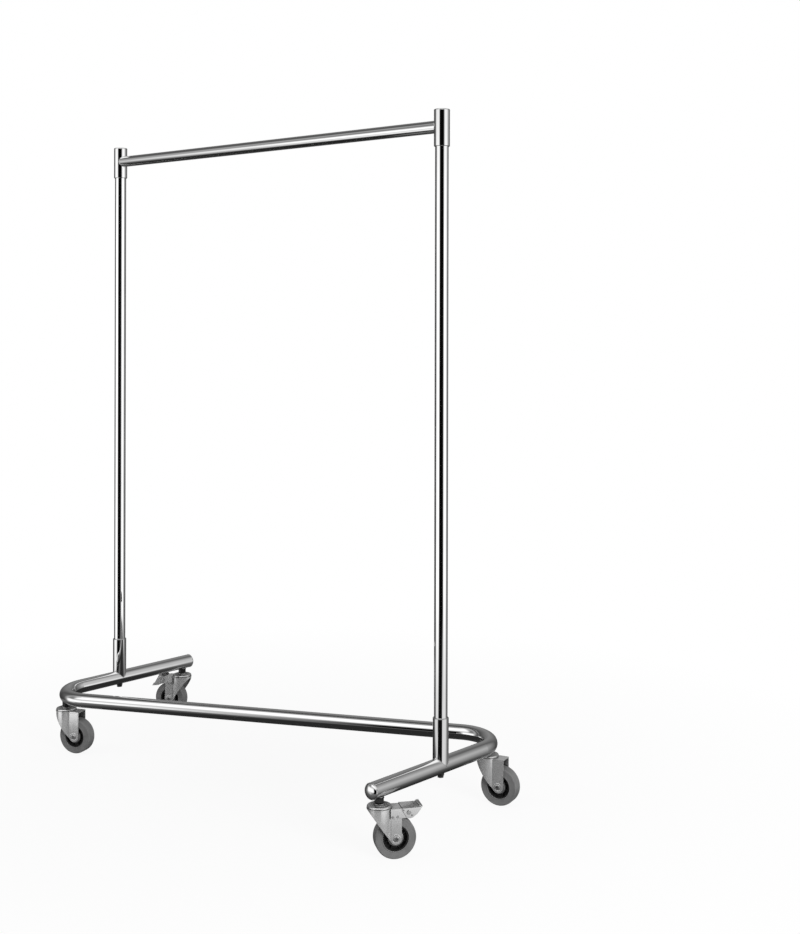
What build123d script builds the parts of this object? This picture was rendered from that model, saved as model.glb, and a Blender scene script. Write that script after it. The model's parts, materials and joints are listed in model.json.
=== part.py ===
from build123d import *
import math
import os

# Nesting garment rack on a Z-shaped base: one bent base tube on four swivel casters,
# two uprights in welded sockets, and a hanging rail between two head sleeves.
# Millimetres and degrees. +X runs along the rail to the right, +Y to the back, +Z up.
# The origin is on the floor, midway between the two uprights.

# ---- Driving dimensions: frame -------------------------------------------------------
upright_spacing = 1208.0     # between the two upright axes
overall_height = 1690.0      # floor to the top of the head caps
base_axis_z = 155.4          # height of the base tube's axis
base_r = 19.0                # base tube, 38 mm outside
base_wall = 2.0
corner_y = 291.4             # where the leg and diagonal axes would meet, likewise
bend_r = 90.0                # radius of the base tube's two bends, at its axis
base_offset_y = 10.0         # the base's middle sits this far behind the uprights
open_end_y = 250.3           # tube end, measured from the base's middle
open_stem_y = 224.4          # caster stem near the tube end
end_cap_dome = 8.0
end_cap_spigot = 14.0

upright_r = 16.0             # upright, 32 mm outside
upright_wall = 1.5
sleeve_r = 18.8              # sockets and head sleeves, 37.6 mm outside
sleeve_bore_r = 16.2
sleeve_edge = 1.2            # chamfer at the open mouth of a sleeve
socket_top_z = 268.3
head_bottom_z = 1602.6
head_cap_h = 3.0
head_cap_spigot = 10.0
head_cap_edge = 2.0
rail_axis_z = 1650.0
rail_r = 15.0
rail_wall = 1.5

bolt_r = 4.0                 # M8 bolts under the uprights and through the wheels
bolt_flats = 13.0
bolt_head_h = 5.3
washer_r = 8.5
washer_h = 3.0
plug_h = 26.0

# ---- Driving dimensions: casters -----------------------------------------------------
wheel_r = 47.0
tyre_inner_r = 29.0
tyre_half_w = 14.5
tyre_edge = 3.0
axle_trail = 35.0            # axle behind the stem
hub_boss_r = 11.0
bush_r = 6.0
stem_r = 6.0                 # M12 stem
insert_r = 9.0
locknut_flats = 19.0
locknut_h = 10.0
head_r = 27.5                # swivel head cover
cover_lip_z = 115.8
cover_edge_z = 117.7          # where the cover's dome turns down
cover_top_z = 121.5
collar_r = 13.0
collar_top_z = 124.5
ball_r = 2.1
ball_circle_r = 20.0
ball_count = 16
rivet_r = 11.0
rivet_h = 3.0
crown_r = 27.3               # round front of the fork
crown_rim_r = 28.2
crown_top_z = 114.5
fork_sheet = 2.2
fork_half_w = 18.0           # outside of the fork legs
leg_pad = 0.6                # raised strip down each leg
axle_head_r = 6.5
axle_head_h = 2.6
axle_nut_h = 6.5
running_gap = 0.08           # radial clearance of the turning fits
side_gap = 0.4               # clearance between parts that turn side by side

# ---- Driving dimensions: brakes ------------------------------------------------------
pivot_x = 62.8               # pedal pivot behind the stem
pivot_z = 105.5
pin_r = 2.5
pin_head_r = 4.2
pin_head_h = 1.2
housing_sheet = 1.4
housing_front_x = 22.0
housing_rear_x = 47.5
housing_low_z = 92.5
housing_top_z = 113.5
pedal_sheet = 1.6
pedal_top = 9.0              # pedal plate above the pivot, when released
pedal_root = 14.6            # pedal plate in front of the pivot
pedal_tip = 31.2             # pedal plate behind the pivot
pedal_curl = 3.6             # rise of the tip
cam_half_w = 16.5
cam_nose_r = 4.0
cam_gap = 0.8                # between the pressed cam and the tyre
brake_throw = 60.0           # pedal travel from released to locked

# ---- Derived dimensions --------------------------------------------------------------
leg_x = upright_spacing / 2
base_top_z = base_axis_z + base_r
base_bottom_z = base_axis_z - base_r
base_middle = Vector(0, base_offset_y)
open_end = Vector(leg_x, -open_end_y)
right_corner = Vector(leg_x, corner_y)
left_corner = -right_corner
to_leg = Vector(0, 1)
to_diagonal = (right_corner - left_corner).normalized()
bisector = (to_leg + to_diagonal).normalized()
half_corner = math.radians(to_leg.get_angle(to_diagonal) / 2)
bend_stem = left_corner + bisector * (bend_r / math.sin(half_corner) - bend_r)
open_stem = Vector(leg_x, -open_stem_y)
fork_gap = fork_half_w - fork_sheet
leg_face = fork_half_w + leg_pad
housing_half_w = leg_face + housing_sheet
pedal_half_w = housing_half_w + side_gap + pedal_sheet
pivot_to_axle = Vector(axle_trail - pivot_x, wheel_r - pivot_z)
cam_reach = pivot_to_axle.length - wheel_r - cam_gap
cam_lead = math.degrees(math.atan2(pivot_to_axle.Y, pivot_to_axle.X)) + brake_throw

# name: (stem position, heading of the trail from +X, side of the axle bolt's head)
casters = {
    "front_right": (base_middle + open_stem, 54.0, -1),
    "rear_left": (base_middle - open_stem, 203.0, 1),
    "front_left": (base_middle + bend_stem, 21.0, -1),
    "rear_right": (base_middle - bend_stem, 14.0, -1),
}
# Only the casters under the tube ends have a brake: how far each pedal is pressed.
brakes = {"front_right": 0.0, "rear_left": brake_throw}

os.makedirs("parts", exist_ok=True)


def save(builder, name):
    """Label a finished piece and write its STEP."""
    builder.part.label = name
    export_step(builder.part, f"parts/{name}.step")


# ---- Base ----------------------------------------------------------------------------
stem_points = [(stem.X, stem.Y) for stem, _, _ in casters.values()]
upright_points = [(-leg_x, 0), (leg_x, 0)]

with BuildPart() as base_tube:
    with BuildLine() as base_path:
        corners = [base_middle + p for p in (open_end, right_corner, left_corner, -open_end)]
        FilletPolyline(*[(p.X, p.Y, base_axis_z) for p in corners], radius=bend_r)
    with BuildSketch(Plane(origin=base_path.line @ 0, z_dir=base_path.line % 0)):
        Circle(base_r)
        Circle(base_r - base_wall, mode=Mode.SUBTRACT)
    sweep(path=base_path.line)
    with BuildSketch(Plane.XY.offset(base_axis_z)):
        with Locations(*stem_points):
            Circle(insert_r)
    extrude(amount=-base_r - 1, mode=Mode.SUBTRACT)
    with BuildSketch(Plane.XY.offset(base_axis_z)):
        with Locations(*upright_points):
            Circle(bolt_r + 0.5)
    extrude(amount=base_r + 1, both=True, mode=Mode.SUBTRACT)
save(base_tube, "base_tube")

for name, end, outward in (("front", base_middle + open_end, -1), ("rear", base_middle - open_end, 1)):
    with BuildPart() as end_cap:
        with BuildSketch(Plane((end.X, end.Y, base_axis_z), x_dir=(0, outward, 0), z_dir=(1, 0, 0))):
            with BuildLine():
                EllipticalCenterArc((0, 0), end_cap_dome, base_r - 0.2, start_angle=0, arc_size=90)
                Polyline((0, base_r - 0.2), (0, base_r - base_wall), (-end_cap_spigot, base_r - base_wall))
                Polyline((-end_cap_spigot, base_r - base_wall), (-end_cap_spigot, 0), (end_cap_dome, 0))
            make_face()
        revolve(axis=Axis((end.X, end.Y, base_axis_z), (0, 1, 0)))
    save(end_cap, f"{name}_end_cap")

# ---- Uprights, sockets and head sleeves ----------------------------------------------
upright_bottom_z = base_top_z + 1.0
head_top_z = overall_height - head_cap_h

for side, x in (("left", -leg_x), ("right", leg_x)):
    with BuildPart() as socket:
        with BuildSketch(Plane((x, 0, base_axis_z))):
            Circle(sleeve_r)
            Circle(sleeve_bore_r, mode=Mode.SUBTRACT)
        extrude(amount=socket_top_z - base_axis_z)
        chamfer(socket.edges().group_by(Axis.Z)[-1].sort_by(SortBy.RADIUS)[-1], sleeve_edge)
        with BuildSketch(Plane((x, 0, base_axis_z), x_dir=(1, 0, 0), z_dir=(0, 1, 0))):
            Circle(base_r)
        extrude(amount=2 * sleeve_r, both=True, mode=Mode.SUBTRACT)
    save(socket, f"{side}_socket")

    with BuildPart() as upright:
        with BuildSketch(Plane((x, 0, upright_bottom_z))):
            Circle(upright_r)
            Circle(upright_r - upright_wall, mode=Mode.SUBTRACT)
        extrude(amount=head_top_z - head_cap_spigot - 1 - upright_bottom_z)
    save(upright, f"{side}_upright")

    with BuildPart() as head_sleeve:
        with BuildSketch(Plane((x, 0, head_bottom_z))):
            Circle(sleeve_r)
            Circle(sleeve_bore_r, mode=Mode.SUBTRACT)
        extrude(amount=head_top_z - head_bottom_z)
        chamfer(head_sleeve.edges().group_by(Axis.Z)[0].sort_by(SortBy.RADIUS)[-1], sleeve_edge)
    save(head_sleeve, f"{side}_head_sleeve")

    with BuildPart() as head_cap:
        with BuildSketch(Plane((x, 0, head_top_z))):
            Circle(sleeve_r)
        extrude(amount=head_cap_h)
        fillet(head_cap.edges().group_by(Axis.Z)[-1], head_cap_edge)
        with BuildSketch(Plane((x, 0, head_top_z))):
            Circle(sleeve_bore_r)
        extrude(amount=-head_cap_spigot)
    save(head_cap, f"{side}_head_cap")

with BuildPart() as upright_plugs:
    with BuildSketch(Plane.XY.offset(upright_bottom_z)):
        with Locations(*upright_points):
            Circle(upright_r - upright_wall)
            Circle(bolt_r, mode=Mode.SUBTRACT)
    extrude(amount=plug_h)
save(upright_plugs, "upright_plugs")

with BuildPart() as hanging_rail:
    with BuildSketch(Plane.YZ.offset(-leg_x)):
        with Locations((0, rail_axis_z)):
            Circle(rail_r)
            Circle(rail_r - rail_wall, mode=Mode.SUBTRACT)
    extrude(amount=upright_spacing)
    with BuildSketch(Plane.XY.offset(rail_axis_z)):
        with Locations(*upright_points):
            Circle(sleeve_r)
    extrude(amount=rail_r + 1, both=True, mode=Mode.SUBTRACT)
save(hanging_rail, "hanging_rail")

# ---- Bolts that hold the uprights down -----------------------------------------------
washer_bottom_z = base_bottom_z - washer_h

with BuildPart() as upright_washers:
    with BuildSketch(Plane.XY.offset(washer_bottom_z)):
        with Locations(*upright_points):
            Circle(washer_r)
            Circle(bolt_r + 0.3, mode=Mode.SUBTRACT)
    extrude(amount=2 * washer_h)
    with BuildSketch(Plane.XZ):
        with Locations((-leg_x, base_axis_z), (leg_x, base_axis_z)):
            Circle(base_r)
    extrude(amount=2 * washer_r, both=True, mode=Mode.SUBTRACT)
save(upright_washers, "upright_washers")

with BuildPart() as upright_bolts:
    with BuildSketch(Plane.XY.offset(washer_bottom_z - bolt_head_h)):
        with Locations(*upright_points):
            RegularPolygon(bolt_flats / 2, 6, major_radius=False)
    extrude(amount=bolt_head_h)
    with BuildSketch(Plane.XY.offset(washer_bottom_z)):
        with Locations(*upright_points):
            Circle(bolt_r)
    extrude(amount=upright_bottom_z + plug_h - 3 - washer_bottom_z)
save(upright_bolts, "upright_bolts")

# ---- Caster stems, and what holds them in the base -----------------------------------
locknut_top_z = base_bottom_z - 0.5
insert_top_z = base_axis_z - 1.0
rivet_top_z = crown_top_z - fork_sheet - 0.5

with BuildPart() as caster_inserts:
    with BuildSketch(Plane.XY.offset(locknut_top_z)):
        with Locations(*stem_points):
            Circle(insert_r)
            Circle(stem_r, mode=Mode.SUBTRACT)
    extrude(amount=insert_top_z - locknut_top_z)
save(caster_inserts, "caster_inserts")

with BuildPart() as caster_locknuts:
    with BuildSketch(Plane.XY.offset(locknut_top_z - locknut_h)):
        with Locations(*stem_points):
            RegularPolygon(locknut_flats / 2, 6, major_radius=False)
            Circle(stem_r, mode=Mode.SUBTRACT)
    extrude(amount=locknut_h)
save(caster_locknuts, "caster_locknuts")

with BuildPart() as caster_stems:
    with BuildSketch(Plane.XY.offset(rivet_top_z - rivet_h)):
        with Locations(*stem_points):
            Circle(rivet_r)
    extrude(amount=rivet_h)
    with BuildSketch(Plane.XY.offset(rivet_top_z)):
        with Locations(*stem_points):
            Circle(stem_r)
    extrude(amount=insert_top_z - 4 - rivet_top_z)
    with BuildSketch(Plane.XY.offset(cover_top_z)):
        with Locations(*stem_points):
            Circle(collar_r)
    extrude(amount=collar_top_z - cover_top_z)
save(caster_stems, "caster_stems")

with BuildPart() as swivel_head_covers:
    for x, y in stem_points:
        with BuildSketch(Plane((x, y, 0), x_dir=(1, 0, 0), z_dir=(0, -1, 0))):
            with BuildLine():
                under_z = cover_top_z - 2.3
                shoulder = (24, cover_top_z - 1.2)
                Polyline((stem_r, under_z), (stem_r, cover_top_z), (14, cover_top_z), shoulder)
                ThreePointArc(shoulder, (26.6, cover_top_z - 2), (head_r, cover_edge_z))
                Polyline((head_r, cover_edge_z), (head_r, cover_lip_z), (25.4, cover_lip_z))
                Polyline((25.4, cover_lip_z), (25.4, cover_edge_z), (23.6, under_z), (stem_r, under_z))
            make_face()
        revolve(axis=Axis((x, y, 0), (0, 0, 1)))
save(swivel_head_covers, "swivel_head_covers")


# ---- Casters -------------------------------------------------------------------------
# Each caster is drawn in its own frame: x back along the trail, y to the left, z up.
def side_face(floor, x, z, y):
    """Plane at a caster's point (x, y, z) that faces outward: left if y >= 0, else right."""
    outward = floor.y_dir if y >= 0 else -floor.y_dir
    return Plane(floor.from_local_coords(Vector(x, y, z)), x_dir=floor.x_dir, z_dir=outward)


def side_view(floor):
    """The caster's plane of symmetry: x back along the trail, y up."""
    return Plane(floor.origin, x_dir=floor.x_dir, z_dir=-floor.y_dir)


def make_fork(name, floor, braked):
    """Pressed fork: a round crown that runs into two legs, open behind and below."""
    leg_half = 13.0 if braked else 14.5
    skirt_z = crown_top_z - 3.5
    rear_x = axle_trail + leg_half
    reach = Vector(-crown_r - axle_trail, skirt_z - wheel_r)
    turn = math.degrees(math.atan2(reach.Y, reach.X) + math.acos(leg_half / reach.length))
    with BuildPart() as fork:
        with BuildSketch(floor):
            Circle(crown_r)
            with Locations((rear_x / 2, 0)):
                Rectangle(rear_x, 2 * fork_half_w)
        extrude(amount=crown_top_z)
        with BuildSketch(floor.offset(crown_top_z)):
            Circle(crown_rim_r)
        extrude(amount=-fork_sheet)
        with BuildSketch(side_view(floor)):
            with BuildLine():
                axle_end = CenterArc((axle_trail, wheel_r), leg_half, turn, 360 - turn)
                Polyline(axle_end @ 1, (rear_x, crown_top_z), (-crown_rim_r, crown_top_z))
                Polyline((-crown_rim_r, crown_top_z), (-crown_rim_r, skirt_z), (-crown_r, skirt_z), axle_end @ 0)
            make_face()
        extrude(amount=crown_rim_r, both=True, mode=Mode.INTERSECT)
        with BuildSketch(floor):
            Circle(crown_r - fork_sheet)
            with Locations((rear_x / 2 + 2, 0)):
                Rectangle(rear_x + 4, 2 * fork_gap)
        extrude(amount=crown_top_z - fork_sheet, mode=Mode.SUBTRACT)
        for y in (fork_half_w, -fork_half_w):
            with BuildSketch(side_view(floor).offset(-y)):
                with Locations((axle_trail, wheel_r)):
                    Circle(leg_half - 1.5)
                with Locations((axle_trail, (wheel_r + skirt_z) / 2)):
                    Rectangle(2 * leg_half - 3, skirt_z - wheel_r)
            extrude(amount=-math.copysign(leg_pad, y))
        with BuildSketch(floor.offset(crown_top_z)):
            Circle(stem_r + running_gap)
        extrude(amount=-2 * fork_sheet, mode=Mode.SUBTRACT)
        with BuildSketch(side_view(floor)):
            with Locations((axle_trail, wheel_r)):
                Circle(bolt_r)
        extrude(amount=crown_r, both=True, mode=Mode.SUBTRACT)
        if braked:
            with BuildSketch(floor.offset(housing_top_z - housing_sheet)):
                with Locations((rear_x / 2 + 2, 0)):
                    Rectangle(rear_x + 4, 2 * crown_rim_r)
                Circle(crown_rim_r, mode=Mode.SUBTRACT)
            extrude(amount=crown_rim_r, mode=Mode.SUBTRACT)
            with BuildSketch(side_view(floor)):
                with Locations(*brake_rivet_points):
                    Circle(brake_rivet_r)
            extrude(amount=crown_r, both=True, mode=Mode.SUBTRACT)
    save(fork, f"{name}_fork")

    with BuildPart() as swivel_balls:
        with Locations(floor.offset(crown_top_z + ball_r)):
            with PolarLocations(ball_circle_r, ball_count):
                Sphere(ball_r)
    save(swivel_balls, f"{name}_swivel_balls")


def make_wheel(name, floor, head_side):
    """Tyre, hub and bush on the axle bolt."""
    centre = floor.from_local_coords(Vector(axle_trail, 0, wheel_r))
    section = Plane(centre, x_dir=floor.y_dir, z_dir=floor.x_dir)
    axle = Axis(centre, floor.y_dir)
    with BuildPart() as tyre:
        with BuildSketch(section) as tyre_section:
            with Locations((0, tyre_inner_r)):
                Rectangle(2 * tyre_half_w, wheel_r - tyre_inner_r, align=(Align.CENTER, Align.MIN))
            fillet(tyre_section.vertices().group_by(Axis.Z)[-1], tyre_edge)
            chamfer(tyre_section.vertices().group_by(Axis.Z)[0], 1.0)
        revolve(axis=axle)
    save(tyre, f"{name}_tyre")

    with BuildPart() as hub:
        with BuildSketch(section):
            with Locations((0, tyre_inner_r)):
                Rectangle(2 * tyre_half_w - 2, 3, align=(Align.CENTER, Align.MAX))
                Rectangle(5, tyre_inner_r - hub_boss_r + 1, align=(Align.CENTER, Align.MAX))
            with Locations((0, bush_r + running_gap)):
                Rectangle(2 * (fork_gap - side_gap), hub_boss_r - bush_r, align=(Align.CENTER, Align.MIN))
        revolve(axis=axle)
    save(hub, f"{name}_hub")

    with BuildPart() as bush:
        with BuildSketch(section):
            with Locations((0, bolt_r)):
                Rectangle(2 * fork_gap, bush_r - bolt_r, align=(Align.CENTER, Align.MIN))
        revolve(axis=axle)
    save(bush, f"{name}_bush")

    head_seat = side_face(floor, axle_trail, wheel_r, head_side * leg_face)
    with BuildPart() as axle_bolt:
        with BuildSketch(head_seat):
            Circle(axle_head_r)
        extrude(amount=axle_head_h)
        fillet(axle_bolt.edges().sort_by(Axis(head_seat.origin, head_seat.z_dir))[-1], 1.5)
        with BuildSketch(head_seat):
            Circle(bolt_r)
        extrude(amount=-2 * leg_face - axle_nut_h - 1)
        with BuildSketch(head_seat.offset(axle_head_h)):
            RegularPolygon(2.5, 6, major_radius=False)
        extrude(amount=-2.0, mode=Mode.SUBTRACT)
    save(axle_bolt, f"{name}_axle_bolt")

    with BuildPart() as axle_nut:
        with BuildSketch(side_face(floor, axle_trail, wheel_r, -head_side * leg_face)):
            RegularPolygon(bolt_flats / 2, 6, major_radius=False)
            Circle(bolt_r, mode=Mode.SUBTRACT)
        extrude(amount=axle_nut_h)
    save(axle_nut, f"{name}_axle_nut")


# ---- Brakes --------------------------------------------------------------------------
brake_rivet_points = [(27.0, pivot_z - 9.5), (38.0, pivot_z - 9.0)]
brake_rivet_r = 2.0
brake_rivet_head_r = 3.2
brake_rivet_head_h = 1.2
housing_step_z = pivot_z + pedal_top - pedal_sheet - 0.8
knuckle_r = housing_step_z - pivot_z


def make_brake(name, floor, pressed):
    """Riveted housing, toggling toe pedal with its cam, pivot pin and click spring."""
    view = side_view(floor)
    with BuildPart() as housing:
        with BuildSketch(view):
            with BuildLine():
                knuckle = CenterArc((pivot_x, pivot_z), knuckle_r, -60, 150)
                Polyline(knuckle @ 1, (housing_rear_x, housing_step_z), (housing_rear_x, housing_top_z))
                Polyline((housing_rear_x, housing_top_z), (housing_front_x, housing_top_z))
                Polyline((housing_front_x, housing_top_z), (housing_front_x, housing_low_z))
                Polyline((housing_front_x, housing_low_z), (58.5, housing_low_z), knuckle @ 0)
            make_face()
        extrude(amount=housing_half_w, both=True)
        with BuildSketch(view):
            Rectangle(2 * pedal_tip * 3, housing_top_z - housing_sheet, align=(Align.CENTER, Align.MIN))
        extrude(amount=leg_face, both=True, mode=Mode.SUBTRACT)
        with BuildSketch(floor.offset(housing_low_z)):
            Circle(crown_rim_r + side_gap)
        extrude(amount=crown_r, mode=Mode.SUBTRACT)
        with BuildSketch(view):
            with Locations((pivot_x, pivot_z)):
                Circle(pin_r)
            with Locations(*brake_rivet_points):
                Circle(brake_rivet_r)
        extrude(amount=crown_r, both=True, mode=Mode.SUBTRACT)
    save(housing, f"{name}_brake_housing")

    with BuildPart() as rivets:
        for y in (fork_gap + 0.2, -fork_gap - 0.2):
            for x, z in brake_rivet_points:
                with BuildSketch(side_face(floor, x, z, y)):
                    Circle(brake_rivet_r)
                extrude(amount=housing_half_w - fork_gap)
                with BuildSketch(side_face(floor, x, z, math.copysign(housing_half_w, y))):
                    Circle(brake_rivet_head_r)
                extrude(amount=brake_rivet_head_h, taper=25)
    save(rivets, f"{name}_brake_rivets")

    with BuildPart() as pin:
        with BuildSketch(side_face(floor, pivot_x, pivot_z, 0)):
            Circle(pin_r)
        extrude(amount=pedal_half_w + side_gap, both=True)
        for y in (pedal_half_w + side_gap, -pedal_half_w - side_gap):
            with BuildSketch(side_face(floor, pivot_x, pivot_z, y)):
                Circle(pin_head_r)
            extrude(amount=pin_head_h)
    save(pin, f"{name}_brake_pin")

    with BuildPart() as spring:
        with BuildSketch(view):
            with BuildLine() as leaf:
                top_z = housing_top_z - housing_sheet
                FilletPolyline((31, top_z), (46, top_z), (54.6, top_z - 3.6), radius=8)
                offset(amount=-0.8, side=Side.RIGHT)
            make_face()
        extrude(amount=cam_half_w / 2, both=True)
    save(spring, f"{name}_brake_spring")

    pivot = floor.from_local_coords(Vector(pivot_x, 0, pivot_z))
    pressed_turn = math.radians(pressed)
    back = floor.x_dir * math.cos(pressed_turn) - floor.z_dir * math.sin(pressed_turn)
    pedal_view = Plane(pivot, x_dir=back, z_dir=-floor.y_dir)
    plate_under = pedal_top - pedal_sheet
    curl_x = pedal_tip - 12
    with BuildPart() as pedal:
        with BuildSketch(pedal_view):
            with BuildLine():
                Line((-pedal_root, pedal_top), (curl_x, pedal_top))
                TangentArc((curl_x, pedal_top), (pedal_tip, pedal_top + pedal_curl), tangent=(1, 0))
                Polyline((pedal_tip, pedal_top + pedal_curl), (pedal_tip + 0.8, pedal_top + 2), (28.5, 6.4))
                Polyline((28.5, 6.4), (20, -4.5), (9, -12.5), (3, -14), (-4, -13), (-pedal_root, 5))
                Line((-pedal_root, 5), (-pedal_root, pedal_top))
            make_face()
        extrude(amount=pedal_half_w, both=True)
        with BuildSketch(pedal_view):
            with BuildLine():
                Line((-pedal_root - 1, plate_under), (curl_x, plate_under))
                TangentArc((curl_x, plate_under), (pedal_tip + 1, plate_under + pedal_curl), tangent=(1, 0))
                Polyline((pedal_tip + 1, plate_under + pedal_curl), (pedal_tip + 1, -15), (-pedal_root - 1, -15))
                Line((-pedal_root - 1, -15), (-pedal_root - 1, plate_under))
            make_face()
        extrude(amount=pedal_half_w - pedal_sheet, both=True, mode=Mode.SUBTRACT)
        with BuildSketch(pedal_view):
            Circle(pin_r + running_gap)
        extrude(amount=pedal_half_w + 1, both=True, mode=Mode.SUBTRACT)
    save(pedal, f"{name}_brake_pedal")

    nose = Vector(cam_reach - cam_nose_r, 0).rotate(Axis.Z, cam_lead)
    with BuildPart() as cam:
        with BuildSketch(pedal_view):
            with Locations((0, plate_under)):
                Rectangle(12, plate_under, align=(Align.CENTER, Align.MAX))
            with BuildSketch(mode=Mode.ADD):
                Circle(5.5)
                with Locations(nose):
                    Circle(cam_nose_r)
                make_hull()
            Circle(pin_r + running_gap, mode=Mode.SUBTRACT)
        extrude(amount=cam_half_w, both=True)
    save(cam, f"{name}_brake_cam")


for name, (stem, heading, head_side) in casters.items():
    turn = math.radians(heading)
    caster_floor = Plane((stem.X, stem.Y, 0), x_dir=(math.cos(turn), math.sin(turn), 0), z_dir=(0, 0, 1))
    make_fork(name, caster_floor, name in brakes)
    make_wheel(name, caster_floor, head_side)
    if name in brakes:
        make_brake(name, caster_floor, brakes[name])
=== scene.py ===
"""Looks for the rolling clothes rack: chrome tube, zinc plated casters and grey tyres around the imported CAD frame.

Metres, in the frame of the CAD model: +X along the rail, +Y to the back, +Z up, origin on the floor.
"""

import json
import math

import bmesh
import bpy
from mathutils import Matrix, Vector


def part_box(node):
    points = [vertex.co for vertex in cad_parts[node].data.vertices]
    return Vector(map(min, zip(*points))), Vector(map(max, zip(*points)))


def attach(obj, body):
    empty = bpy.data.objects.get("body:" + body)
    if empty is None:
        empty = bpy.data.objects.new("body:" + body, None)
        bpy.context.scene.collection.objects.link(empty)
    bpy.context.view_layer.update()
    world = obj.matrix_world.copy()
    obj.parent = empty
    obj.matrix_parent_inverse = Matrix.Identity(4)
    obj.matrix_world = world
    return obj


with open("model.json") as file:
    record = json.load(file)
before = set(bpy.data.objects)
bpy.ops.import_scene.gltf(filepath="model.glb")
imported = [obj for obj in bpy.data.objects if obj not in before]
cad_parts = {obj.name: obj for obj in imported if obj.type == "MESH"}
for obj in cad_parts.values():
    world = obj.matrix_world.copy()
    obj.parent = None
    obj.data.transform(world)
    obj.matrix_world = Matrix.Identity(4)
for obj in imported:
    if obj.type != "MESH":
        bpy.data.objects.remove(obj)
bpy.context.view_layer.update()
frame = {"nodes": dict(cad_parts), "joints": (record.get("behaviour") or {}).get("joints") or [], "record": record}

NODES = frame["nodes"]
MM = 0.001
UP = Vector((0, 0, 1))
SIDES = (("left", 1), ("right", -1))     # side of a caster and its direction along the axle
CASTERS = ("front_right", "rear_left", "front_left", "rear_right")

# Sizes of the CAD parts that the detail pieces sit on, in millimetres
BASE_TUBE_R = 19.0
SLEEVE_R = 18.8
RAIL_R = 15.0
END_CAP_DOME = 8.0
HEAD_CAP_HEIGHT = 3.0
TYRE_HALF_WIDTH = 14.5
FORK_HALF_WIDTH = 18.6
RACE_ABOVE_AXLE = 67.2
PEDAL_HALF_WIDTH = 22.0

# How far each brake pedal is pressed at rest, in degrees
PEDALS_AT_REST = {"front_right": 0.0, "rear_left": 60.0}

# ---- Camera --------------------------------------------------------------------------
CAMERA_AT = Vector((2.7038, -2.5461, 1.2111))
CAMERA_YAW = math.radians(41.2)          # to the left of +Y
CAMERA_ROLL = math.radians(0.12)
FOCAL_LENGTH = 54.37                     # on a 36 mm sensor
SHIFT_Y = -0.1639
FAR_CLIP = 100.0


def add_camera():
    data = bpy.data.cameras.new("camera")
    data.sensor_fit = "AUTO"
    data.sensor_width = 36.0
    data.lens = FOCAL_LENGTH
    data.shift_y = SHIFT_Y
    data.clip_end = FAR_CLIP
    camera = bpy.data.objects.new("camera", data)
    bpy.context.scene.collection.objects.link(camera)
    turn = Matrix.Rotation(CAMERA_YAW, 4, "Z") @ Matrix.Rotation(math.radians(90.0), 4, "X")
    camera.matrix_world = Matrix.Translation(CAMERA_AT) @ turn @ Matrix.Rotation(CAMERA_ROLL, 4, "Z")
    bpy.context.scene.camera = camera


# ---- Node helpers --------------------------------------------------------------------
class Tree:
    """A small wrapper that adds and links shader nodes."""

    def __init__(self, tree):
        self.tree = tree
        tree.nodes.clear()

    def add(self, kind, inputs=None, **settings):
        node = self.tree.nodes.new(kind)
        for key, value in settings.items():
            setattr(node, key, value)
        for key, value in (inputs or {}).items():
            self.feed(node.inputs[key], value)
        return node

    def feed(self, socket, value):
        if isinstance(value, bpy.types.NodeSocket):
            self.tree.links.new(value, socket)
        else:
            socket.default_value = value

    def math(self, operation, a, b=0.0, c=0.0):
        node = self.add("ShaderNodeMath", operation=operation)
        for socket, value in zip(node.inputs, (a, b, c)):
            self.feed(socket, value)
        return node.outputs[0]

    def ramp(self, value, stops):
        """A grey ramp with straight steps; each stop is (position, level)."""
        node = self.add("ShaderNodeValToRGB", {"Fac": value})
        elements = node.color_ramp.elements
        while len(elements) < len(stops):
            elements.new(0.5)
        for element, (position, level) in zip(elements, stops):
            element.position = position
            element.color = grey(level)
        return node.outputs["Color"]

    def mix(self, factor, a, b, blend="MIX"):
        node = self.add("ShaderNodeMix", data_type="RGBA", blend_type=blend)
        self.feed(node.inputs[0], factor)
        self.feed(node.inputs[6], a)
        self.feed(node.inputs[7], b)
        return node.outputs[2]


def grey(value):
    return (value, value, value, 1.0)


# ---- Studio --------------------------------------------------------------------------
CAMERA_SIDE = math.radians(48.8)         # the camera stands this far from +X towards the front
FLOOR_HALF = 30.0
FADE_REACH = 4.0                         # the floor is plain white well inside this distance
FOOTPRINT_HALF_X = 0.60                  # the floor that the rack stands over
FOOTPRINT_HALF_Y = 0.22


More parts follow.
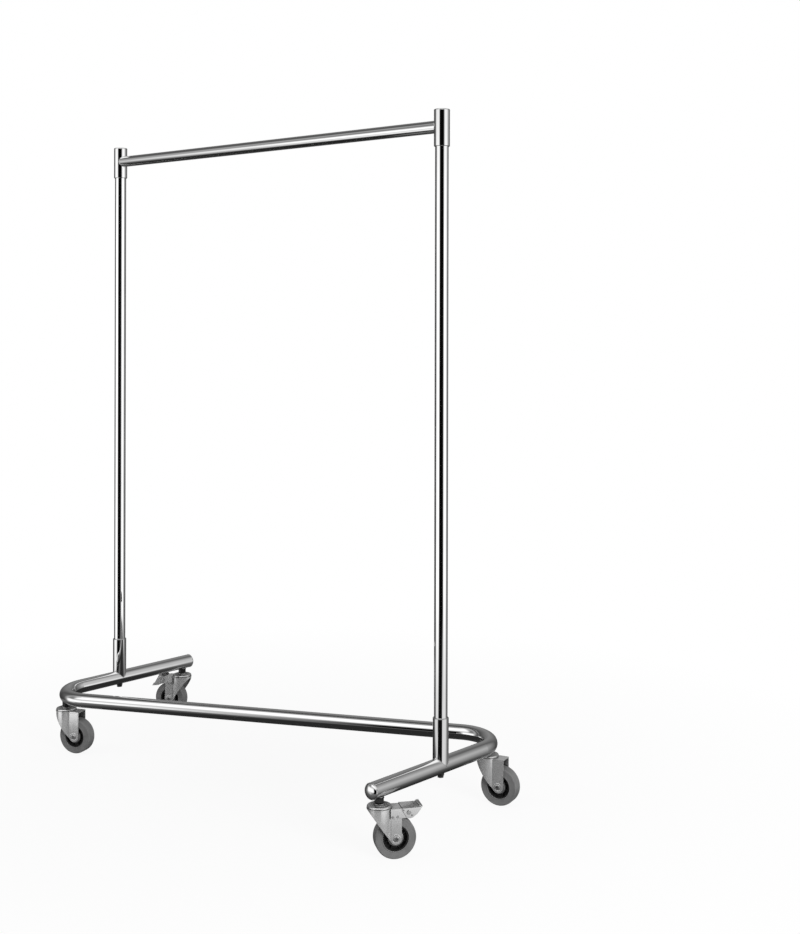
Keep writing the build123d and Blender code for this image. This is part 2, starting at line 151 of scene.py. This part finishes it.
def add_world():
    """White studio for the camera. Reflections see soft boxes at both sides and above, with dark flags between.

    Directions are given as degrees around from the camera's side (to the right is positive)
    and degrees of height above the horizon.
    """
    bpy.context.scene.view_settings.view_transform = "Standard"
    world = bpy.data.worlds.new("studio")
    world.use_nodes = True
    bpy.context.scene.world = world
    t = Tree(world.node_tree)
    coordinates = t.add("ShaderNodeTexCoord")
    direction = t.add("ShaderNodeSeparateXYZ", {0: coordinates.outputs["Generated"]})
    x, y, z = direction.outputs
    turned = t.math("ADD", t.math("ARCTAN2", y, x), CAMERA_SIDE)
    around = t.math("MULTIPLY_ADD", t.math("WRAP", turned, math.pi, -math.pi), 0.5 / math.pi, 0.5)
    height = t.math("MULTIPLY_ADD", t.math("ARCSINE", z), 1.0 / math.pi, 0.5)

    def by_side(*stops):
        return t.ramp(around, [(0.5 + degrees / 360.0, value) for degrees, value in stops])

    def by_height(*stops):
        return t.ramp(height, [(0.5 + degrees / 180.0, value) for degrees, value in stops])

    def product(a, b):
        return t.mix(1.0, a, b, "MULTIPLY")

    room = by_height(
        (-90, 0.02), (-50, 0.05), (-33, 0.12), (-17, 0.28), (0, 0.42), (18, 0.60), (50, 0.60), (70, 0.32), (90, 0.38)
    )
    rear = by_side(
        (-180, 0.45), (-130, 0.14), (-108, 0.22), (-92, 1.0), (95, 1.0), (110, 0.60), (140, 0.20), (180, 0.45)
    )
    level = product(room, rear)

    # Each layer is a mask and the level it sets. A later layer lies over the earlier ones.
    flag = product(
        by_side((-37, 0.0), (-31, 1.0), (26, 1.0), (33, 0.0)),
        by_height((-20, 0.0), (-16, 1.0), (12, 1.0), (22, 0.0)),
    )
    low_side = by_side((-98, 0.0), (-90, 1.0), (-72, 1.0), (-62, 0.0))
    shade_box = product(low_side, by_height((5, 0.0), (12, 1.0), (38, 1.0), (55, 0.0)))
    low_box = product(
        low_side, by_height((-88, 0.45), (-62, 0.55), (-46, 1.0), (-23, 1.0), (-16, 0.0))
    )
    soft_boxes = product(
        by_side((-97, 0.0), (-85, 1.0), (-42, 1.0), (-36, 0.0), (36, 0.0), (42, 1.0), (78, 1.0), (92, 0.0)),
        by_height((-21, 0.0), (-11, 1.0), (3, 1.0), (11, 0.45), (18, 0.0)),
    )
    near_floor = by_height((-34, 0.0), (-25, 1.0), (-16, 1.0), (-12, 0.0))
    low_flag = product(by_side((-50, 0.0), (-38, 1.0), (17, 1.0), (24, 0.0)), near_floor)
    low_card = product(by_side((17, 0.0), (24, 1.0), (55, 1.0), (75, 0.0)), near_floor)
    top_box = product(
        by_side((-78, 0.0), (-60, 1.0), (20, 1.0), (45, 0.0)),
        by_height((20, 0.0), (30, 1.0), (60, 1.0), (68, 0.0)),
    )
    layers = (
        (flag, 0.002), (shade_box, 0.24), (low_box, 1.1), (soft_boxes, 1.3), (low_flag, 0.004), (low_card, 0.8),
        (top_box, 1.25),
    )
    for mask, brightness in layers:
        level = t.mix(mask, level, grey(brightness))

    path = t.add("ShaderNodeLightPath")
    fill = by_height((-90, 0.04), (-20, 0.10), (0, 0.55), (25, 0.62), (90, 0.30))
    level = t.mix(path.outputs["Is Diffuse Ray"], level, fill)
    level = t.mix(path.outputs["Is Camera Ray"], level, grey(1.0))
    background = t.add("ShaderNodeBackground", {"Color": level, "Strength": 1.0})
    t.add("ShaderNodeOutputWorld", {"Surface": background.outputs[0]})


def add_light(name, place, target, size, power):
    """A soft rectangular lamp that lights matt surfaces but isn't mirrored in the chrome."""
    data = bpy.data.lights.new(name, "AREA")
    data.shape = "RECTANGLE"
    data.size, data.size_y = size
    data.energy = power
    light = bpy.data.objects.new(name, data)
    bpy.context.scene.collection.objects.link(light)
    aim = (Vector(target) - Vector(place)).to_track_quat("-Z", "Y")
    light.matrix_world = Matrix.Translation(place) @ aim.to_matrix().to_4x4()
    light.visible_glossy = False


def add_floor():
    """Pale floor that fades into the white studio. In the chrome it shows a painted shadow: dark close to the rack.
    """
    material = bpy.data.materials.new("studio_floor")
    material.use_nodes = True
    t = Tree(material.node_tree)
    place = t.add("ShaderNodeNewGeometry").outputs["Position"]
    distance = t.add("ShaderNodeVectorMath", {0: place}, operation="LENGTH").outputs["Value"]
    fade = t.ramp(
        t.math("DIVIDE", distance, FADE_REACH), [(0.0, 0.87), (0.2, 0.92), (0.45, 1.0), (1.0, 1.0)]
    )
    matt = t.add("ShaderNodeBsdfPrincipled", {"Base Color": grey(0.9), "Roughness": 0.9})
    lit = t.add("ShaderNodeEmission", {"Color": grey(1.0), "Strength": 1.0})
    seen = t.add("ShaderNodeMixShader", {0: fade, 1: matt.outputs[0], 2: lit.outputs[0]})

    x, y, _ = t.add("ShaderNodeSeparateXYZ", {0: place}).outputs

    def outside(coordinate, half):
        return t.math("MAXIMUM", t.math("SUBTRACT", t.math("ABSOLUTE", coordinate), half), 0.0)

    beside, before = outside(x, FOOTPRINT_HALF_X), outside(y, FOOTPRINT_HALF_Y)
    squares = t.math("ADD", t.math("MULTIPLY", beside, beside), t.math("MULTIPLY", before, before))
    beyond = t.math("SQRT", squares)
    # Painted shadow: glossy rays see a dim glow close under the rack, standing in for its shadow on the floor.
    painted_floor_shadow = t.ramp(beyond, [(0.0, 0.025), (0.1, 0.06), (0.25, 0.16), (0.4, 0.32)])
    mirrored = t.add("ShaderNodeEmission", {"Color": painted_floor_shadow, "Strength": 1.0})
    clear = t.add("ShaderNodeBsdfTransparent")
    edge = t.ramp(beyond, [(0.26, 0.0), (0.42, 1.0)])
    reflected = t.add("ShaderNodeMixShader", {0: edge, 1: mirrored.outputs[0], 2: clear.outputs[0]})
    glossy = t.add("ShaderNodeLightPath").outputs["Is Glossy Ray"]
    shader = t.add("ShaderNodeMixShader", {0: glossy, 1: seen.outputs[0], 2: reflected.outputs[0]})
    t.add("ShaderNodeOutputMaterial", {"Surface": shader.outputs[0]})

    half = FLOOR_HALF
    mesh = bpy.data.meshes.new("studio_floor")
    corners = [(-half, -half, 0), (half, -half, 0), (half, half, 0), (-half, half, 0)]
    mesh.from_pydata(corners, [], [(0, 1, 2, 3)])
    mesh.materials.append(material)
    floor = bpy.data.objects.new("studio_floor", mesh)
    bpy.context.scene.collection.objects.link(floor)
    floor.visible_diffuse = False


# ---- Materials -----------------------------------------------------------------------
def new_material(name):
    material = bpy.data.materials.new(name)
    material.use_nodes = True
    return material, Tree(material.node_tree)


def object_place(t):
    return t.add("ShaderNodeTexCoord").outputs["Object"]


def shaded(t, colour, roughness, bump, metallic, **extra):
    inputs = {"Base Color": colour, "Metallic": metallic, "Roughness": roughness, "Normal": bump}
    inputs.update({key.replace("_", " "): value for key, value in extra.items()})
    shader = t.add("ShaderNodeBsdfPrincipled", inputs)
    t.add("ShaderNodeOutputMaterial", {"Surface": shader.outputs[0]})


def noise(t, place, scale, detail=3.0):
    return t.add("ShaderNodeTexNoise", {"Vector": place, "Scale": scale, "Detail": detail}).outputs["Fac"]


def stretched(t, place, scale):
    """Object coordinates scaled per axis, so that a noise runs along a tube."""
    return t.add("ShaderNodeVectorMath", {0: place, 1: scale}, operation="MULTIPLY").outputs["Vector"]


def shade(tint, factor):
    return [c * factor for c in tint[:3]] + [1.0]


def chrome(name, tint, smudge=0.5, along=(1.0, 1.0, 1.0)):
    """Polished chrome: smudges from hands, fine polishing lines along the tube and a slight waviness."""
    material, t = new_material(name)
    place = object_place(t)
    cloud = noise(t, place, 11.0, 5.0)
    lines = noise(t, stretched(t, place, along), 420.0, 2.0)
    haze = t.ramp(cloud, [(0.42, 0.025), (0.74, 0.025 + 0.08 * smudge)])
    haze = t.mix(t.ramp(lines, [(0.45, 0.0), (0.75, 0.25)]), haze, grey(0.07))
    tone = t.mix(t.ramp(cloud, [(0.35, 0.0), (0.78, 1.0)]), tint, shade(tint, 0.93))
    colour = t.mix(t.ramp(lines, [(0.5, 0.0), (0.8, 0.5)]), tone, shade(tint, 0.88))
    waves = noise(t, stretched(t, place, along), 26.0, 1.0)
    rolled = t.add("ShaderNodeBump", {"Height": waves, "Strength": 0.07, "Distance": 0.0006})
    polished = {"Height": lines, "Strength": 0.012, "Distance": 0.0001, "Normal": rolled.outputs[0]}
    bump = t.add("ShaderNodeBump", polished)
    shaded(t, colour, haze, bump.outputs[0], 1.0)
    return material


def zinc(name, tint, rough, metallic):
    """Zinc plate or plain steel: satin and mottled, with handling scuffs, a fine grain and painted shade darkening
    the crevices.
    """
    material, t = new_material(name)
    place = object_place(t)
    mottle = noise(t, place, 130.0, 6.0)
    spangle = t.add("ShaderNodeTexVoronoi", {"Vector": place, "Scale": 700.0}).outputs["Distance"]
    scuffs = noise(t, stretched(t, place, (1.0, 1.0, 0.12)), 900.0, 2.0)
    tone = t.mix(t.ramp(mottle, [(0.3, 0.0), (0.7, 1.0)]), shade(tint, 0.94), tint)
    tone = t.mix(t.ramp(spangle, [(0.0, 0.06), (0.6, 0.0)]), tone, shade(tint, 1.08))
    colour = t.mix(t.ramp(scuffs, [(0.66, 0.0), (0.84, 0.2)]), tone, shade(tint, 0.80))
    # Painted shade: ambient occlusion darkens the colour in crevices and hollows, standing in for the shade that
    # falls there.
    painted_recess_shade = t.add("ShaderNodeAmbientOcclusion", {"Distance": 0.035}, samples=16).outputs["AO"]
    colour = t.mix(t.ramp(painted_recess_shade, [(0.2, 1.0), (0.80, 0.0)]), colour, grey(0.02))
    haze = t.ramp(mottle, [(0.3, rough - 0.03), (0.7, rough + 0.05)])
    grain = noise(t, place, 1500.0, 2.0)
    bump = t.add("ShaderNodeBump", {"Height": grain, "Strength": 0.05, "Distance": 0.0001})
    shaded(t, colour, haze, bump.outputs[0], metallic)
    return material


def plain(name, tint, rough, grain_scale, grain_strength):
    """Moulded plastic or black oxide: a matt colour with a fine grain and slight variation."""
    material, t = new_material(name)
    place = object_place(t)
    cloud = noise(t, place, 60.0, 4.0)
    colour = t.mix(cloud, shade(tint, 0.8), shade(tint, 1.15))
    haze = t.ramp(cloud, [(0.3, rough - 0.06), (0.7, rough + 0.08)])
    grain = noise(t, place, grain_scale)
    bump = t.add("ShaderNodeBump", {"Height": grain, "Strength": grain_strength, "Distance": 0.0004})
    shaded(t, colour, haze, bump.outputs[0], 0.0)
    return material


def rubber(name, tint):
    """Grey thermoplastic rubber: a faint bloom, specks of dust and a fine moulded grain."""
    material, t = new_material(name)
    place = object_place(t)
    bloom = noise(t, place, 45.0, 5.0)
    dust = noise(t, place, 700.0, 4.0)
    tone = t.mix(t.ramp(bloom, [(0.3, 0.0), (0.72, 1.0)]), shade(tint, 0.86), shade(tint, 1.10))
    colour = t.mix(t.ramp(dust, [(0.60, 0.0), (0.78, 0.45)]), tone, shade(tint, 1.7))
    haze = t.ramp(bloom, [(0.3, 0.50), (0.7, 0.66)])
    grain = noise(t, place, 1900.0)
    bump = t.add("ShaderNodeBump", {"Height": grain, "Strength": 0.22, "Distance": 0.0004})
    shaded(t, colour, haze, bump.outputs[0], 0.0, Specular_IOR_Level=0.35)
    return material


def make_finishes():
    """One finish for each material slot of the record."""
    upward = (1.0, 1.0, 0.02)
    lengthwise = (0.02, 1.0, 1.0)
    return {
        "chrome_tube": chrome("chrome_tube", grey(0.86)),
        "chrome_cap": chrome("chrome_cap", grey(0.84)),
        "chrome_socket": chrome("chrome_socket", grey(0.86), 0.5, upward),
        "chrome_upright": chrome("chrome_upright", grey(0.90), 0.3, upward),
        "chrome_sleeve": chrome("chrome_sleeve", grey(0.88), 0.4, upward),
        "chrome_head_cap": chrome("chrome_head_cap", grey(0.86)),
        "chrome_rail": chrome("chrome_rail", grey(0.86), 0.9, lengthwise),
        "zinc_fork": zinc("zinc_fork", grey(0.97), 0.15, 0.74),
        "zinc_cover": zinc("zinc_cover", grey(0.84), 0.16, 0.92),
        "zinc_housing": zinc("zinc_housing", grey(0.93), 0.17, 0.72),
        "zinc_pedal": zinc("zinc_pedal", grey(0.92), 0.16, 0.8),
        "zinc_stem": zinc("zinc_stem", grey(0.62), 0.28, 0.9),
        "zinc_bolt": zinc("zinc_bolt", grey(0.72), 0.22, 0.9),
        "zinc_steel": zinc("zinc_steel", grey(0.60), 0.34, 0.9),
        "ball_steel": zinc("ball_steel", grey(0.75), 0.12, 1.0),
        "spring_steel": zinc("spring_steel", grey(0.28), 0.34, 1.0),
        "cam_steel": zinc("cam_steel", grey(0.42), 0.4, 0.8),
        "black_fastener": plain("black_fastener", grey(0.008), 0.30, 1800.0, 0.1),
        "grey_tyre": rubber("grey_tyre", grey(0.175)),
        "black_hub": plain("black_hub", grey(0.012), 0.27, 1700.0, 0.08),
    }


finishes = make_finishes()


def dress_nodes():
    """Gives every CAD node the finish of its material slot."""
    for entry in frame["record"]["subparts"]:
        mesh = NODES[entry["node"]].data
        mesh.materials.clear()
        mesh.materials.append(finishes[entry["material_slot"]])


# ---- Detail pieces -------------------------------------------------------------------
def place_piece(name, mesh, slot, body, smooth=True):
    """Adds a finished mesh as a piece that rides on a body."""
    mesh.materials.append(finishes[slot])
    for polygon in mesh.polygons:
        polygon.use_smooth = smooth
    piece = bpy.data.objects.new(name, mesh)
    bpy.context.scene.collection.objects.link(piece)
    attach(piece, body)
    return piece


def to_mesh(name, bm):
    """Turns an edit mesh into a mesh with its faces pointing outwards."""
    mesh = bpy.data.meshes.new(name)
    bmesh.ops.recalc_face_normals(bm, faces=bm.faces)
    bm.to_mesh(mesh)
    bm.free()
    return mesh


def bead(name, points, radius, slot, body, **weld):
    """Places a round bead as a piece."""
    return place_piece(name, tube_mesh(name, points, radius, **weld), slot, body)


def tube_mesh(name, points, radius, closed=False, ripple=0.0, ripples=1):
    """A round bead along points. A ripple gives it the scales of a weld."""
    bm = bmesh.new()
    sides = 10
    rings = []
    count = len(points)
    for i, point in enumerate(points):
        before = points[i - 1] if closed or i else points[0]
        after = points[(i + 1) % count] if closed or i < count - 1 else points[-1]
        ahead = (after - before).normalized()
        up = UP if abs(ahead.z) < 0.9 else Vector((1, 0, 0))
        across = ahead.cross(up).normalized()
        over = across.cross(ahead)
        r = radius * (1 + ripple * math.cos(math.tau * ripples * i / count))
        turns = [math.tau * k / sides for k in range(sides)]
        rings.append([bm.verts.new(point + (across * math.cos(a) + over * math.sin(a)) * r) for a in turns])
    for i in range(count if closed else count - 1):
        a, b = rings[i], rings[(i + 1) % count]
        shift = 0
        if closed and i == count - 1:
            shift = min(range(sides), key=lambda k: (b[k].co - a[0].co).length)
        for k in range(sides):
            bm.faces.new((a[k], a[(k + 1) % sides], b[(k + 1 + shift) % sides], b[(k + shift) % sides]))
    if not closed:
        bm.faces.new(rings[0])
        bm.faces.new(list(reversed(rings[-1])))
    return to_mesh(name, bm)


def turned_mesh(name, centre, axis, profile, steps=72):
    """Revolves a closed profile of (radius, height along axis) about an axis through centre."""
    bm = bmesh.new()
    across = axis.orthogonal().normalized()
    other = axis.cross(across)
    rings = []
    for i in range(steps):
        turn = math.tau * i / steps
        out = across * math.cos(turn) + other * math.sin(turn)
        rings.append([bm.verts.new(centre + out * r + axis * h) for r, h in profile])
    size = len(profile)
    for i in range(steps):
        a, b = rings[i], rings[(i + 1) % steps]
        for k in range(size):
            bm.faces.new((a[k], a[(k + 1) % size], b[(k + 1) % size], b[k]))
    return to_mesh(name, bm)


def lathe(name, centre, axis, profile, slot, body):
    """Places a turned piece with its sharp profile corners kept. The profile is in millimetres."""
    mesh = turned_mesh(name, centre, axis, [(r * MM, h * MM) for r, h in profile])
    piece = place_piece(name, mesh, slot, body)
    piece.data.set_sharp_from_angle(angle=math.radians(35))


def middle(node):
    low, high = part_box(node)
    return (low + high) / 2


def add_welds():
    """Weld beads round the foot of each socket and round both ends of the rail."""
    axis_z = middle("front_end_cap").z
    rail_z = middle("hanging_rail").z
    tube_r, sleeve_r, rail_r = BASE_TUBE_R * MM, SLEEVE_R * MM, RAIL_R * MM
    count = 96
    turns = [math.tau * i / count for i in range(count)]
    for side in ("left", "right"):
        x = middle(f"{side}_socket").x
        foot = []
        for a in turns:
            px, py = sleeve_r * math.cos(a), sleeve_r * math.sin(a)
            foot.append(Vector((x + px, py, axis_z + math.sqrt(tube_r**2 - px**2))))
        bead(
            f"{side}_socket_weld", foot, 0.9 * MM, "chrome_socket", "rack", closed=True, ripple=0.16, ripples=32
        )
        inward = -math.copysign(1.0, x)
        ring = []
        for a in turns:
            py, pz = rail_r * math.cos(a), rail_r * math.sin(a)
            ring.append(Vector((x + inward * math.sqrt(sleeve_r**2 - py**2), py, rail_z + pz)))
        bead(
            f"{side}_rail_weld", ring, 0.8 * MM, "chrome_sleeve", "rack", closed=True, ripple=0.16, ripples=28
        )


def add_cap_seams():
    """The lips where the end caps meet the cut tube, under the head caps and at the mouths of the sockets."""
    for name, outward in (("front", -1), ("rear", 1)):
        low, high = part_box(f"{name}_end_cap")
        centre = (low + high) / 2
        dome = END_CAP_DOME * MM
        centre.y = (low.y + dome) if outward < 0 else (high.y - dome)
        profile = [(18.4, -0.5), (19.25, -0.45), (19.45, 0.0), (19.25, 0.45), (18.9, 0.75), (18.4, 0.6)]
        lathe(f"{name}_cap_lip", centre, Vector((0, outward, 0)), profile, "chrome_cap", "rack")
    for side in ("left", "right"):
        low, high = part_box(f"{side}_head_cap")
        centre = Vector(((low.x + high.x) / 2, (low.y + high.y) / 2, high.z - HEAD_CAP_HEIGHT * MM))
        profile = [(18.4, -0.35), (19.0, -0.3), (19.1, 0.0), (19.0, 0.3), (18.4, 0.35)]
        lathe(f"{side}_head_cap_lip", centre, UP, profile, "chrome_head_cap", "rack")
        low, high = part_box(f"{side}_socket")
        centre = Vector((centre.x, centre.y, high.z))
        profile = [(16.3, -0.6), (17.5, 0.0), (17.5, 0.25), (17.0, 0.55), (16.5, 0.45), (16.1, -0.2)]
        lathe(f"{side}_socket_mouth", centre, UP, profile, "chrome_socket", "rack")


def joint_named(name):
    return next(joint for joint in frame["joints"] if joint["name"] == name)


class Caster:
    """A caster's rest position: centre of its axle, foot of its stem, and the directions left and back."""

    def __init__(self, name):
        self.name = name
        self.body = f"{name}_caster"
        self.wheel = f"{name}_wheel"
        self.brake = f"{name}_brake"
        roll = joint_named(f"{name}_roll")
        stem = joint_named(f"{name}_swivel")["pos_m"]
        self.centre = Vector(roll["pos_m"])
        self.stem = Vector((stem[0], stem[1], 0))
        self.left = Vector(roll["axis"]).normalized()
        self.back = self.left.cross(UP).normalized()
        if self.back.dot(self.centre - self.stem) < 0:
            self.back = -self.back


def add_wheel_details(caster):
    """Bearing bosses, hub rims, moulded rings on the tyre walls and the tread's parting line."""
    name, wheel = caster.name, caster.wheel
    profile = [(46.8, -0.5), (46.98, 0.0), (46.8, 0.5), (46.4, 0.0)]
    lathe(f"{name}_tread_line", caster.centre, caster.left, profile, "grey_tyre", wheel)
    for side, outward in SIDES:
        out = caster.left * outward
        face = caster.centre + out * TYRE_HALF_WIDTH * MM
        ring = [(29.3, -0.6), (29.3, 0.3), (29.9, 0.8), (31.2, 0.8), (32.0, 0.2), (32.2, -0.6)]
        lathe(f"{name}_{side}_wall_ring", face, out, ring, "grey_tyre", wheel)
        shoulder = [(42.6, -0.6), (42.6, 0.1), (43.1, 0.35), (43.7, 0.3), (44.0, -0.6)]
        lathe(f"{name}_{side}_shoulder_ring", face, out, shoulder, "grey_tyre", wheel)
        rim = [(26.2, -6.0), (26.2, -1.4), (26.9, -0.9), (28.4, -0.9), (28.9, -1.4), (28.9, -6.0)]
        lathe(f"{name}_{side}_hub_rim", face, out, rim, "black_hub", wheel)
        boss = [(9.6, -1.2), (9.6, 0.3), (10.4, 0.6), (15.6, 0.2), (17.4, -1.0), (18.4, -8.0), (12.0, -8.0)]
        lathe(f"{name}_{side}_bearing_boss", face, out, boss, "cam_steel", wheel)


def add_hub_ribs(caster):
    """Eight moulded ribs on each side of the hub's web, with soft edges."""
    count = 8
    half_thick = 1.1
    root = 2.0                           # how far from the wheel's middle plane the ribs start
    ends = ((13.0, 9.5), (26.6, 8.0))    # radius, and how far out the rib reaches there
    bm = bmesh.new()
    for outward in (1, -1):
        for k in range(count):
            turn = math.tau * (k + 0.5) / count
            out = caster.back * math.cos(turn) + UP * math.sin(turn)
            across = UP * math.cos(turn) - caster.back * math.sin(turn)
            corners = []
            for radius, reach in ends:
                for width in (-half_thick, half_thick):
                    for depth in (root, reach):
                        spot = out * radius + across * width + caster.left * outward * depth
                        corners.append(bm.verts.new(caster.centre + spot * MM))
            a, b, c, d, e, f, g, h = corners
            for quad in ((a, b, d, c), (e, g, h, f), (a, e, f, b), (c, d, h, g), (b, f, h, d), (a, c, g, e)):
                bm.faces.new(quad)
    name = f"{caster.name}_hub_ribs"
    piece = place_piece(name, to_mesh(name, bm), "black_hub", caster.wheel, smooth=False)
    bevel = piece.modifiers.new("edges", "BEVEL")
    bevel.width = 0.35 * MM
    bevel.segments = 2


def add_stem_details(caster):
    """Pressed ring on the swivel cover, the nut's two faces and the lip of the race on the fork."""
    name, stem = caster.name, caster.stem
    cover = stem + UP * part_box("swivel_head_covers")[1].z
    profile = [(17.0, -0.4), (17.6, 0.0), (18.6, 0.22), (19.6, 0.0), (20.2, -0.6), (18.6, -1.0)]
    lathe(f"{name}_cover_ring", cover, UP, profile, "zinc_cover", "rack")
    nut_low, nut_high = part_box("caster_locknuts")
    profile = [(6.1, -0.35), (8.4, -0.35), (9.2, 0.25), (9.3, 1.1), (6.1, 1.1)]
    lathe(f"{name}_nut_face", stem + UP * nut_low.z, UP, profile, "black_fastener", "rack")
    profile = [(6.3, -0.9), (10.9, -0.9), (11.5, -0.3), (11.5, 0.1), (10.9, 0.42), (6.3, 0.42)]
    lathe(f"{name}_nut_washer", stem + UP * nut_high.z, UP, profile, "black_fastener", "rack")
    race = stem + UP * (caster.centre.z + RACE_ABOVE_AXLE * MM)
    profile = [(25.6, -0.5), (26.9, -0.5), (27.3, 0.0), (26.9, 0.6), (25.6, 0.6)]
    lathe(f"{name}_race_lip", race, UP, profile, "zinc_cover", caster.body)


def add_leg_dimples(caster):
    """Pressed ring round the axle on both faces of the fork."""
    profile = [(8.0, -0.3), (8.5, 0.12), (9.2, 0.32), (9.9, 0.12), (10.4, -0.3)]
    for side, outward in SIDES:
        face = caster.centre + caster.left * outward * FORK_HALF_WIDTH * MM
        lathe(f"{caster.name}_{side}_axle_ring", face, caster.left * outward, profile, "zinc_fork", caster.body)


def add_brake_details(caster, pressed):
    """Pivot rings and studs on the pedal's sides, and grip beads across its toe.

    At rest the pedal is turned down by the angle pressed, in degrees.
    """
    name = caster.name
    pivot = Vector(joint_named(f"{name}_brake_toggle")["pos_m"])
    turn = math.radians(pressed)
    toe = caster.back * math.cos(turn) - UP * math.sin(turn)
    rise = caster.back * math.sin(turn) + UP * math.cos(turn)
    ring = [(4.5, -0.3), (4.7, 0.15), (5.1, 0.28), (5.5, 0.15), (5.7, -0.3)]
    stud = [(0.3, -0.4), (2.0, -0.4), (1.9, 0.3), (1.4, 0.6), (0.9, 0.6), (0.3, 0.2)]
    stud_spots = ((7.1, -7.4), (-12.0, 5.0))                               # along the toe and up from the pivot
    beads = ((26.5, 11.6, 1.5), (17.5, 9.4, 0.8), (13.5, 9.0, 0.8))        # the same, and the bead's radius
    for side, outward in SIDES:
        out = caster.left * outward
        flank = pivot + out * PEDAL_HALF_WIDTH * MM
        lathe(f"{name}_{side}_pivot_ring", flank, out, ring, "zinc_pedal", caster.brake)
        for k, (along, height) in enumerate(stud_spots):
            spot = flank + (toe * along + rise * height) * MM
            lathe(f"{name}_{side}_pedal_stud_{k + 1}", spot, out, stud, "cam_steel", caster.brake)
    reach = (PEDAL_HALF_WIDTH - 2.2) * MM
    for k, (along, height, size) in enumerate(beads):
        across = pivot + (toe * along + rise * height) * MM
        points = [across + caster.left * reach * (i / 12.0 - 1.0) for i in range(25)]
        bead(f"{name}_toe_bead_{k + 1}", points, size * MM, "zinc_pedal", caster.brake)


def add_housing_shadow_lines(caster):
    """Painted shade: a dark bead along the brake housing's folded edge, up both flanks and round the swivel head."""
    name = caster.name
    low, high = (corner.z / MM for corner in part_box(f"{name}_brake_housing"))
    flank, front, reach = 20.1, 21.9, 28.6    # from the stem, to the left, to the back and round the swivel head
    half_arc, steps = 44, 24
    arc = [math.radians(half_arc * (2 * i / steps - 1)) for i in range(steps + 1)]
    route = [(front, -flank, low + 0.5), (front, -flank, high - 1.5)]
    route += [(reach * math.cos(a), reach * math.sin(a), high + 0.1) for a in arc]
    route += [(front, flank, high - 1.5), (front, flank, low + 0.5)]
    points = [caster.stem + (caster.back * x + caster.left * y + UP * z) * MM for x, y, z in route]
    # A black bead stands in for the shade at the sheet's edge.
    bead(f"{name}_housing_edge", points, 0.45 * MM, "black_fastener", caster.body)


def soften_edges():
    """Small bevels on the pressed and turned CAD parts, so that their edges catch light."""
    widths = {"fork": 0.5, "brake_housing": 0.35, "brake_pedal": 0.4, "axle_nut": 0.5, "axle_bolt": 0.25}
    for node, piece in NODES.items():
        width = next((size for ending, size in widths.items() if node.endswith(ending)), None)
        if node in ("caster_locknuts", "upright_bolts"):
            width = 0.6
        if width is None:
            continue
        bevel = piece.modifiers.new("edges", "BEVEL")
        bevel.width = width * MM
        bevel.segments = 2
        bevel.limit_method = "ANGLE"
        bevel.angle_limit = math.radians(40)
        bevel.use_clamp_overlap = True


# ---- The scene -----------------------------------------------------------------------
dress_nodes()
soften_edges()
add_camera()
add_world()
add_light("key", place=(4.3, -0.9, 1.3), target=(0, 0, 0.2), size=(1.8, 1.6), power=120.0)
add_light("fill", place=(-2.6, -3.8, 2.4), target=(0, 0, 0.4), size=(2.4, 2.4), power=34.0)
add_floor()
add_welds()
add_cap_seams()
for caster in map(Caster, CASTERS):
    add_wheel_details(caster)
    add_hub_ribs(caster)
    add_stem_details(caster)
    add_leg_dimples(caster)
for caster in map(Caster, PEDALS_AT_REST):
    add_housing_shadow_lines(caster)
for braked, pressed in PEDALS_AT_REST.items():
    add_brake_details(Caster(braked), pressed)
